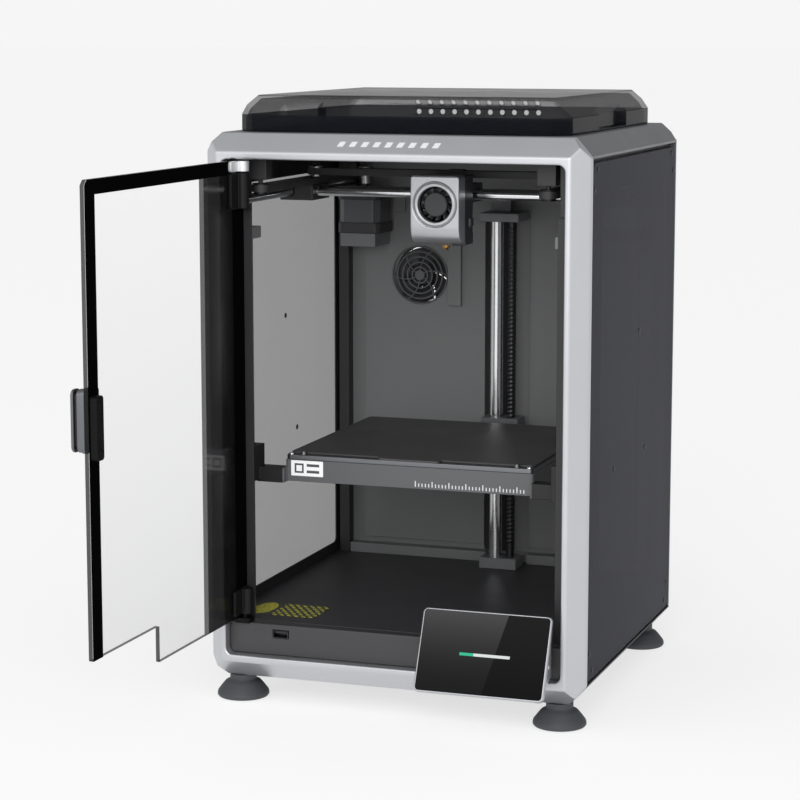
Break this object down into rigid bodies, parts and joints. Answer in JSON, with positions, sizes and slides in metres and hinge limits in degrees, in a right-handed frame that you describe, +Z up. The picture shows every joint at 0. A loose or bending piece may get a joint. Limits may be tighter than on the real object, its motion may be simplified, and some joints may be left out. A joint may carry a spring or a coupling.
{
  "type": "fdm printer",
  "caption": "Enclosed upright printer with a hinged glass door, lift-off lid, belt-driven gantry, toolhead, and a bed lifted by lead screws.",
  "frame": {"origin": "bottom centre of the bounding box with the door standing open; the body's own centre is 95 mm behind it", "axes": "+X to the right of someone facing the door, +Y towards the back, +Z up"},
  "size_m": [0.335, 0.69, 0.52],
  "materials": {
    "bed_black": "powder coat",
    "bed_plate": "rolled plate",
    "belt_rubber": "toothed",
    "black_plastic": "fine texture",
    "black_print": "printed border",
    "chrome_rod": "ground shaft",
    "circuit_board": "solder mask",
    "coated_sheet": "textured coating on spring steel",
    "dark_plastic": "fine texture",
    "dark_steel": "fine powder coat",
    "door_glass": "clear tempered glass",
    "floor_coat": "coarse powder coat",
    "grey_steel": "fine powder coat",
    "handle_silver": "satin",
    "head_silver": "satin",
    "hinge_metal": "satin",
    "hotend_metal": "heat sink and nozzle",
    "lid_smoked": "smoked clear shell",
    "motor_steel": "black end caps, laminated steel middle",
    "pulley_metal": "turned",
    "rubber_feet": "matt",
    "screen": "cover glass in a metal surround",
    "screw_rod": "rolled thread",
    "screw_steel": "zinc plated",
    "silver_paint": "satin metallic paint on die-cast and moulded frame parts",
    "smoked_sheet": "smoked clear sheet",
    "supply_case": "plain sheet"
  },
  "bodies": {
    "body": {"front_frame": "silver_paint", "top_frame": "silver_paint", "base_tray": "silver_paint", "rear_posts": "silver_paint", "left_panel": "smoked_sheet", "right_panel": "smoked_sheet", "back_panel": "grey_steel", "panel_screws": "screw_steel", "feet": "rubber_feet", "side_liners": "grey_steel", "inner_columns": "dark_steel", "inner_back_wall": "grey_steel", "top_rails": "dark_steel", "floor_plate": "floor_coat", "chin_panel": "grey_steel", "usb_port": "hinge_metal", "hinge_pins": "hinge_metal", "screen_display": "screen", "screen_housing": "dark_plastic", "power_supply": "supply_case", "control_board": "circuit_board", "power_inlet": "black_plastic", "exhaust_fan_housing": "black_plastic", "exhaust_grille": "dark_plastic", "xy_motors": "motor_steel", "brackets": "grey_steel", "drive_belts": "belt_rubber", "y_rods": "chrome_rod", "z_rods": "chrome_rod", "z_motor": "motor_steel", "spool_holder": "dark_plastic", "filament_sensor": "dark_plastic"},
    "lid": {"lid": "lid_smoked"},
    "door": {"door_glass": "door_glass", "door_border": "black_print", "door_handle": "handle_silver", "door_latch": "black_plastic", "door_hinge_clamps": "hinge_metal"},
    "power_rocker": {"power_switch": "black_plastic"},
    "exhaust_rotor": {"exhaust_fan_rotor": "black_plastic"},
    "gantry": {"gantry_blocks": "black_plastic", "x_rods": "chrome_rod", "gantry_belts": "belt_rubber"},
    "toolhead": {"toolhead_cover": "head_silver", "toolhead_carriage": "dark_plastic", "hotend": "hotend_metal"},
    "head_fan_rotor": {"toolhead_fan": "black_plastic"},
    "extruder_drive": {"extruder_gear": "screw_rod"},
    "bed": {"bed_frame": "bed_black", "heated_bed": "bed_plate", "build_plate": "coated_sheet"},
    "screw_front_left": {"lead_screw_front_left": "screw_rod"},
    "screw_front_right": {"lead_screw_front_right": "screw_rod"},
    "screw_rear": {"lead_screw_rear": "screw_rod"},
    "motor_pulley_left": {"motor_pulley_left": "pulley_metal"},
    "front_idler_left": {"front_idler_left": "pulley_metal"},
    "gantry_idler_left": {"gantry_idler_left": "pulley_metal"},
    "motor_pulley_right": {"motor_pulley_right": "pulley_metal"},
    "front_idler_right": {"front_idler_right": "pulley_metal"},
    "gantry_idler_right": {"gantry_idler_right": "pulley_metal"}
  },
  "joints": [
    {"name": "door_hinge", "type": "hinge", "parent": "body", "child": "door", "pos_m": [-0.134, -0.064, 0.27], "axis": [0, 0, 1], "range_deg": [-22, 90.5]},
    {"name": "lid_lift_off", "type": "slide", "parent": "body", "child": "lid", "axis": [0, 0, 1], "range_m": [0, 0.15]},
    {"name": "bed_lift", "type": "slide", "parent": "body", "child": "bed", "axis": [0, 0, 1], "range_m": [-0.1, 0.171]},
    {"name": "gantry_y", "type": "slide", "parent": "body", "child": "gantry", "axis": [0, 1, 0], "range_m": [-0.073, 0.095]},
    {"name": "toolhead_x", "type": "slide", "parent": "gantry", "child": "toolhead", "axis": [1, 0, 0], "range_m": [-0.1015, 0.0885]},
    {"name": "screw_turn_front_left", "type": "hinge", "parent": "body", "child": "screw_front_left", "pos_m": [-0.143, -0.042, 0.061], "axis": [0, 0, 1], "range_deg": [-7700, 4505]},
    {"name": "screw_turn_front_right", "type": "hinge", "parent": "body", "child": "screw_front_right", "pos_m": [0.143, -0.042, 0.061], "axis": [0, 0, 1], "range_deg": [-7700, 4505]},
    {"name": "screw_turn_rear", "type": "hinge", "parent": "body", "child": "screw_rear", "pos_m": [0.02, 0.217, 0.061], "axis": [0, 0, 1], "range_deg": [-7700, 4505]},
    {"name": "power_rocker_tilt", "type": "hinge", "parent": "body", "child": "power_rocker", "pos_m": [-0.066, 0.2565, 0.056], "axis": [1, 0, 0], "range_deg": [0, 16]},
    {"name": "exhaust_fan_spin", "type": "hinge", "parent": "body", "child": "exhaust_rotor", "pos_m": [-0.079, 0.251, 0.342], "axis": [0, 1, 0], "continuous": true},
    {"name": "head_fan_spin", "type": "hinge", "parent": "toolhead", "child": "head_fan_rotor", "pos_m": [0.0064, 0.0327, 0.426], "axis": [0, 1, 0], "continuous": true},
    {"name": "extruder_spin", "type": "hinge", "parent": "toolhead", "child": "extruder_drive", "pos_m": [-0.0006, 0.061, 0.44], "axis": [0, 1, 0], "continuous": true},
    {"name": "motor_pulley_spin_left", "type": "hinge", "parent": "body", "child": "motor_pulley_left", "pos_m": [-0.1265, 0.2216, 0.441], "axis": [0, 0, 1], "continuous": true},
    {"name": "front_idler_spin_left", "type": "hinge", "parent": "body", "child": "front_idler_left", "pos_m": [-0.1265, -0.039, 0.441], "axis": [0, 0, 1], "continuous": true},
    {"name": "gantry_idler_spin_left", "type": "hinge", "parent": "gantry", "child": "gantry_idler_left", "pos_m": [-0.1265, 0.092, 0.448], "axis": [0, 0, 1], "continuous": true},
    {"name": "motor_pulley_spin_right", "type": "hinge", "parent": "body", "child": "motor_pulley_right", "pos_m": [0.1265, 0.2216, 0.441], "axis": [0, 0, 1], "continuous": true},
    {"name": "front_idler_spin_right", "type": "hinge", "parent": "body", "child": "front_idler_right", "pos_m": [0.1265, -0.039, 0.441], "axis": [0, 0, 1], "continuous": true},
    {"name": "gantry_idler_spin_right", "type": "hinge", "parent": "gantry", "child": "gantry_idler_right", "pos_m": [0.1265, 0.092, 0.448], "axis": [0, 0, 1], "continuous": true}
  ],
  "couplings": [
    {"joint": "screw_turn_front_left", "follows": "bed_lift", "rad_per_m": -785.4},
    {"joint": "screw_turn_front_right", "follows": "bed_lift", "rad_per_m": -785.4},
    {"joint": "screw_turn_rear", "follows": "bed_lift", "rad_per_m": -785.4}
  ]
}
